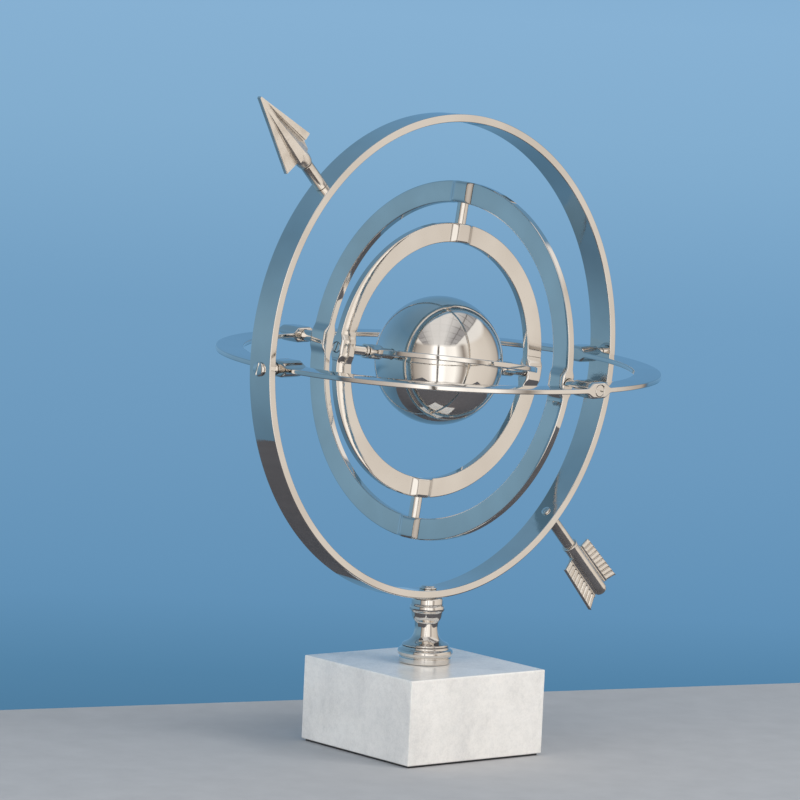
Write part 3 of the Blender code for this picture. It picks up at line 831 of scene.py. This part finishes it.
def vane_lift(along, part):
    """Half a vane's thickness: slanting grooves, and a fillet along the root."""
    valley = 1 - abs(math.sin(math.pi * along * VANE_RIBS)) ** VANE_GROOVE_SHARPNESS
    ribbed = min(max((part - VANE_ROOT) / VANE_GROOVE_START, 0.0), 1.0)
    ribbed *= min((1 - part) / VANE_GROOVE_END, 1.0)
    root = max(0.0, 1 - part / VANE_ROOT)
    hollow = math.sin(math.pi * min(part / VANE_ROOT, 1.0))
    lift = VANE_HALF - VANE_GROOVE * valley * ribbed
    return lift + VANE_ROOT_RISE * root ** 2 - VANE_ROOT_HOLLOW * hollow


for label, hand in (("lower", 1.0), ("upper", -1.0)):

    def vane_spot(along, part, hand=hand):
        root = VANE_START[0].lerp(VANE_END[0], along)
        spot = root.lerp(VANE_START[1].lerp(VANE_END[1], along), part)
        return Vector((-spot.x, hand * spot.y))

    feather = plate("tail_vane_%s_ribbed" % label, vane_spot, vane_lift, rows=216, columns=40)
    stand_for(feather, "stand", "tail_vane_" + label)

# ---------------------------------------------------------------- CAD nodes that stay as they are

for node, material in (
    ("base_pad", FELT), ("base_bolt", STEEL), ("base_washer", STEEL), ("sphere_axle_tube", STEEL),
):
    kept = frame["nodes"][node]
    kept.data.materials.clear()
    kept.data.materials.append(material)

# ---------------------------------------------------------------- floor and lights

bpy.context.scene.view_settings.view_transform = "Standard"
FLOOR_TURN = math.radians(-19.3)
FLOOR_BACK = 0.249
FLOOR_SIDE = 1.1
CARD_SIDE = 0.60
CARD_FRONT = 0.43
CARD_HEIGHT = 0.0004
LIGHT_DISTANCE = 2.4
LIGHT_COLOUR = (1.0, 0.97, 0.93)


def stage_sheet(name, low, high, place, tone, spot):
    """A flat sheet between two corners, with a soft speckle and no sheen."""
    work = bmesh.new()
    corners = ((low[0], low[1]), (high[0], low[1]), (high[0], high[1]), (low[0], high[1]))
    work.faces.new([work.verts.new((x, y, 0)) for x, y in corners])
    paint = Paint(name + "_finish", metallic=0.0, roughness=0.5)
    speckle = paint.noise(30.0, detail=6.0, roughness=0.6)
    paint.set("Base Color", paint.ramp(speckle, ((0.3, tone), (0.7, spot))))
    paint.shader.inputs["Specular IOR Level"].default_value = 0.0
    made = new_object(name, work, paint.material, place, smooth=False)
    return made


on_floor = Matrix.Rotation(FLOOR_TURN, 4, "Z")
floor = stage_sheet(
    "floor", (-FLOOR_SIDE, -FLOOR_SIDE), (FLOOR_SIDE, FLOOR_BACK), on_floor,
    (0.47, 0.48, 0.50), (0.51, 0.52, 0.54),
)
floor.visible_glossy = False
# A dark card that only reflections see, as a photographer lays one by polished metal.
card = stage_sheet(
    "dark_card", (-CARD_SIDE, -CARD_FRONT), (CARD_SIDE, FLOOR_BACK),
    on_floor @ Matrix.Translation((0, 0, CARD_HEIGHT)),
    (0.14, 0.135, 0.145), (0.16, 0.155, 0.165),
)
card.visible_camera = False
card.visible_diffuse = False
card.visible_shadow = False
card.visible_transmission = False


def outward(azimuth, elevation):
    """The direction at two angles in radians. Azimuth 0 is in front, along -Y."""
    return Vector((
        math.sin(azimuth) * math.cos(elevation),
        -math.cos(azimuth) * math.cos(elevation),
        math.sin(elevation),
    ))


def soft_box(name, azimuth, elevation, size, power):
    """A square light aimed at the hoop's centre, which the metal doesn't mirror."""
    out = outward(math.radians(azimuth), math.radians(elevation))
    light = bpy.data.lights.new(name, "AREA")
    light.shape = "RECTANGLE"
    light.size, light.size_y = size, size
    light.energy = power
    light.color = LIGHT_COLOUR
    made = bpy.data.objects.new(name, light)
    made.location = hoop_centre + out * LIGHT_DISTANCE
    made.rotation_euler = out.to_track_quat("Z", "Y").to_euler()
    made.visible_glossy = False
    bpy.context.scene.collection.objects.link(made)


soft_box("key_light", 20, 26, 1.2, 27)
soft_box("fill_light", -88, 14, 1.6, 21)

# ---------------------------------------------------------------- the room that the metal mirrors

world = bpy.data.worlds.new("studio")
bpy.context.scene.world = world
world.use_nodes = True
sky = NodeKit(world.node_tree)
split = sky.nodes.new("ShaderNodeSeparateXYZ")
direction = sky.nodes.new("ShaderNodeTexCoord").outputs["Generated"]
sky.links.new(direction, split.inputs[0])
ahead = sky.combine("MULTIPLY", split.outputs["Y"], -1.0)
azimuth_radians = sky.combine("ARCTAN2", split.outputs["X"], ahead)
azimuth = sky.combine("MULTIPLY", azimuth_radians, 180 / math.pi)
height = split.outputs["Z"]


def sky_ramp(value, reach, stops):
    """A colour ramp with stops in the value's own units, which run from -reach to reach."""
    share = sky.combine("DIVIDE", sky.combine("SUBTRACT", value, -reach), 2 * reach)
    return sky.ramp(share, [((place + reach) / (2 * reach), colour) for place, colour in stops])


def by_height(*stops):
    return sky_ramp(height, 1.0, stops)


def by_azimuth(*stops):
    return sky_ramp(azimuth, 180.0, stops)


def sky_mix(amount, first, second):
    return sky.mix("MIX", amount, first, second)


def grey(tone):
    return (tone, tone, tone)


BLACK, WHITE = grey(0.0), grey(1.0)

# Behind the sphere: a blue wall, plainer and greyer towards the left. On the right, a narrow dark
# band low down is painted shade: the table's shadow along the foot of the wall.
wall_right = by_height(
    (-0.60, (0.100, 0.215, 0.340)), (-0.24, (0.130, 0.280, 0.440)),
    # The dark stop at -0.19 is painted shade, where the table darkens the foot of the wall.
    (-0.19, (0.050, 0.150, 0.265)), (-0.165, (0.078, 0.215, 0.370)),
    (-0.147, (0.120, 0.285, 0.480)), (-0.116, (0.150, 0.322, 0.522)),
    (-0.084, (0.172, 0.352, 0.557)), (-0.05, (0.228, 0.425, 0.635)),
    (-0.02, (0.250, 0.450, 0.670)), (0.05, (0.140, 0.315, 0.535)),
    (0.60, (0.150, 0.300, 0.460)), (0.95, (0.180, 0.300, 0.420)),
)
wall_left = by_height(
    (-0.60, (0.090, 0.170, 0.250)), (-0.30, (0.150, 0.280, 0.400)),
    (0.10, (0.210, 0.370, 0.510)), (0.60, (0.120, 0.240, 0.360)), (0.95, (0.150, 0.260, 0.360)),
)
# In front: a warm pale room with a bright barred window.
window, bar = (1.45, 1.42, 1.38), (0.14, 0.13, 0.12)
room = by_azimuth(
    (-96, (0.05, 0.05, 0.06)), (-88, (0.42, 0.38, 0.34)), (-62, (0.80, 0.75, 0.70)),
    (-54, window), (-48.5, window), (-47, bar), (-45, bar), (-43.5, window), (-38, window),
    (-30, (1.12, 1.09, 1.04)), (-14, (1.22, 1.18, 1.12)), (2, (0.30, 0.26, 0.23)),
    (12, (0.86, 0.80, 0.73)), (60, (0.74, 0.68, 0.61)), (84, (0.52, 0.47, 0.42)),
    (92, (0.06, 0.06, 0.07)),
)
# Overhead: a plastered ceiling with a patch of square tiles, partly lit. Its own flat
# coordinates come from the direction divided by its height.
upward = sky.combine("MAXIMUM", height, 0.05)
side_step = sky.combine("SUBTRACT", split.outputs["X"], split.outputs["Y"])
back_step = sky.combine("ADD", split.outputs["X"], split.outputs["Y"])
across = sky.combine("DIVIDE", side_step, upward)
away = sky.combine("DIVIDE", back_step, upward)
flat = sky.nodes.new("ShaderNodeCombineXYZ")
sky.links.new(across, flat.inputs["X"])
sky.links.new(away, flat.inputs["Y"])
tiles = sky.nodes.new("ShaderNodeTexBrick")
tiles.offset = 0.0
for name, value in (
    ("Scale", 1.0), ("Mortar Size", 0.022), ("Brick Width", 0.42), ("Row Height", 0.42),
    ("Color1", (0.50, 0.49, 0.49)), ("Color2", (0.36, 0.35, 0.36)),
    ("Mortar", (0.20, 0.19, 0.19)), ("Vector", flat.outputs["Vector"]),
):
    sky.feed(tiles.inputs[name], value)
lit = sky_ramp(across, 2.0, ((-1.0, BLACK), (-0.35, grey(0.8)), (0.25, grey(0.8)), (0.8, BLACK)))
glow = by_height((0.5, (0.95, 0.94, 0.92)), (1.0, (0.90, 0.89, 0.88)))
tiled = sky_ramp(across, 3.0, ((-1.35, BLACK), (-1.25, WHITE), (1.25, WHITE), (1.35, BLACK)))
plaster = by_height((0.5, (0.92, 0.89, 0.85)), (1.0, (0.86, 0.85, 0.84)))
ceiling = sky_mix(tiled, plaster, sky_mix(lit, tiles.outputs["Color"], glow))
# Below: a dark table.
table = by_azimuth(
    (-120, (0.045, 0.052, 0.068)), (-80, (0.105, 0.092, 0.090)), (60, (0.110, 0.095, 0.090)),
    (120, (0.045, 0.052, 0.068)),
)

in_front = by_azimuth((-98, BLACK), (-94, WHITE), (88, WHITE), (94, BLACK))
to_left = by_azimuth(
    (-180, grey(0.35)), (-140, WHITE), (-90, WHITE), (90, BLACK), (125, BLACK), (180, grey(0.35)),
)
overhead = by_height((0.48, BLACK), (0.56, WHITE))
below = by_height((-0.58, WHITE), (-0.53, BLACK))
far_below = by_height((-0.94, WHITE), (-0.80, BLACK))
# Behind, the wall reaches down past the table's edge; in front, the dark table starts higher.
behind = sky_mix(far_below, sky_mix(to_left, wall_right, wall_left), table)
front = sky_mix(below, sky_mix(overhead, room, ceiling), table)
sky.links.new(sky_mix(in_front, behind, front), sky.nodes["Background"].inputs["Color"])
sky.nodes["Background"].inputs["Strength"].default_value = 1.0

# ---------------------------------------------------------------- camera

CAMERA_AZIMUTH = math.radians(-44.507)
CAMERA_ELEVATION = math.radians(6.03)
CAMERA_ROLL = math.radians(2.577)
CAMERA_DISTANCE = 4.1238
CAMERA_LENS = 210.45
CAMERA_SENSOR = 36
CAMERA_REACH = 50
CAMERA_TARGET = Vector((-0.02305, 0.02266, 0.30964))

back = outward(CAMERA_AZIMUTH, CAMERA_ELEVATION)
level = Vector((math.cos(CAMERA_AZIMUTH), math.sin(CAMERA_AZIMUTH), 0))
upright = back.cross(level)
right = math.cos(CAMERA_ROLL) * level + math.sin(CAMERA_ROLL) * upright
up = back.cross(right)
camera = bpy.data.objects.new("camera", bpy.data.cameras.new("camera"))
camera.data.lens = CAMERA_LENS
camera.data.sensor_width = CAMERA_SENSOR
camera.data.clip_end = CAMERA_REACH
camera.matrix_world = axes_frame(right, up, back, CAMERA_TARGET + back * CAMERA_DISTANCE)
bpy.context.scene.collection.objects.link(camera)
bpy.context.scene.camera = camera
